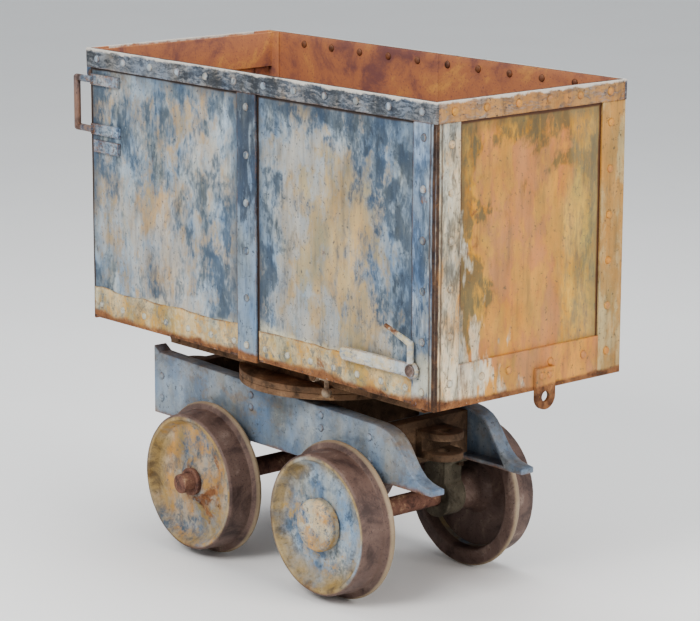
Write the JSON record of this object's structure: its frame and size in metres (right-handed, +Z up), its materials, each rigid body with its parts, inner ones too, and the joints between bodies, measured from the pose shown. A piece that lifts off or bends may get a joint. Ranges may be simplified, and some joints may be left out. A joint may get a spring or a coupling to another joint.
{
  "type": "mine cart",
  "caption": "End-dump mine cart: a riveted ore box that swivels on a turntable and tips on a hinge, over a cast truck with flanged wheels.",
  "frame": {"origin": "middle of the overall box in plan, at the lowest point of the wheel flanges", "axes": "+X along the track towards the closed rear end, the door end is -X; +Y towards the far side; +Z up"},
  "size_m": [1.392, 0.6564, 1.295],
  "materials": {
    "box_paint": "weathered slate-blue paint over steel plate, scuffed and streaked with rust",
    "end_rust": "ochre and orange rust with traces of old paint",
    "inner_rust": "reddish-brown rusted steel inside and under the box",
    "rim_steel": "dark slate paint worn to bright metal on the edge",
    "frame_paint": "pale blue-grey paint on cast side frames",
    "under_iron": "dark brown rusted ironwork",
    "wheel_iron": "cast wheel, blue-grey paint on the face and bare brown tread",
    "axle_steel": "rusty axle steel"
  },
  "bodies": {
    "truck": {"turntable_base": "under_iron", "king_pin": "under_iron", "side_frame_near": "frame_paint", "side_frame_far": "frame_paint", "transoms": "under_iron", "draw_pocket_front": "under_iron", "draw_pocket_rear": "under_iron", "frame_bolts": "frame_paint", "axle_boxes": "under_iron", "axle_box_bolts": "under_iron", "axle_front": "axle_steel", "axle_rear": "axle_steel", "axle_collars": "axle_steel"},
    "wheel_fn": {"wheel_front_near": "wheel_iron"},
    "wheel_ff": {"wheel_front_far": "wheel_iron"},
    "wheel_rn": {"wheel_rear_near": "wheel_iron", "hub_cap_near": "wheel_iron"},
    "wheel_rf": {"wheel_rear_far": "wheel_iron", "hub_cap_far": "wheel_iron"},
    "saddle": {"saddle_sill_near": "under_iron", "saddle_sill_far": "under_iron", "saddle_crossbars": "under_iron", "turntable_top": "under_iron", "tip_hinge_pin": "under_iron", "lock_stud": "under_iron"},
    "lock": {"lock_lever": "under_iron"},
    "box": {"side_near_front": "box_paint", "side_near_rear": "box_paint", "side_far_front": "box_paint", "side_far_rear": "box_paint", "rear_end_plate": "end_rust", "floor_plate": "inner_rust", "seam_strap_near": "box_paint", "seam_strap_far": "box_paint", "corner_angle_near": "box_paint", "corner_angle_far": "end_rust", "rear_band": "end_rust", "rim_near": "rim_steel", "rim_far": "rim_steel", "rim_rear": "rim_steel", "rim_front": "rim_steel", "floor_angles": "inner_rust", "door_jambs": "inner_rust", "rivets_near": "box_paint", "rivets_far": "box_paint", "rivets_rear": "end_rust", "rim_rivets": "rim_steel", "box_bearers": "under_iron", "box_hinge_lugs": "under_iron", "rear_lug": "end_rust", "grab_handle_near": "box_paint", "grab_handle_far": "box_paint", "side_lug_near": "box_paint", "lever_stud": "under_iron", "door_hinge_rod": "under_iron", "door_brackets": "box_paint"},
    "door": {"door_plate": "box_paint", "door_straps": "box_paint", "door_rivets": "box_paint"},
    "lever": {"side_lever": "box_paint"}
  },
  "joints": [
    {"name": "wheel_front_near_spin", "type": "hinge", "parent": "truck", "child": "wheel_fn", "pos_m": [-0.268, -0.29, 0.2], "axis": [0, 1, 0], "continuous": true},
    {"name": "wheel_front_far_spin", "type": "hinge", "parent": "truck", "child": "wheel_ff", "pos_m": [-0.268, 0.29, 0.2], "axis": [0, 1, 0], "continuous": true},
    {"name": "wheel_rear_near_spin", "type": "hinge", "parent": "truck", "child": "wheel_rn", "pos_m": [0.24, -0.29, 0.2], "axis": [0, 1, 0], "continuous": true},
    {"name": "wheel_rear_far_spin", "type": "hinge", "parent": "truck", "child": "wheel_rf", "pos_m": [0.24, 0.29, 0.2], "axis": [0, 1, 0], "continuous": true},
    {"name": "turntable_swivel", "type": "hinge", "parent": "truck", "child": "saddle", "pos_m": [-0.014, 0, 0.5144], "axis": [0, 0, 1], "continuous": true},
    {"name": "box_tip", "type": "hinge", "parent": "saddle", "child": "box", "pos_m": [-0.464, 0, 0.5374], "axis": [0, -1, 0], "range_deg": [0, 40]},
    {"name": "door_swing", "type": "hinge", "parent": "box", "child": "door", "pos_m": [-0.663, 0, 1.225], "axis": [0, 1, 0], "range_deg": [0, 80]},
    {"name": "lever_swing", "type": "hinge", "parent": "box", "child": "lever", "pos_m": [0.614, -0.3154, 0.665], "axis": [0, 1, 0], "range_deg": [0, 40]},
    {"name": "lock_swing", "type": "hinge", "parent": "saddle", "child": "lock", "pos_m": [0.141, -0.2, 0.5464], "axis": [0, 1, 0], "range_deg": [-35, 0]}
  ]
}
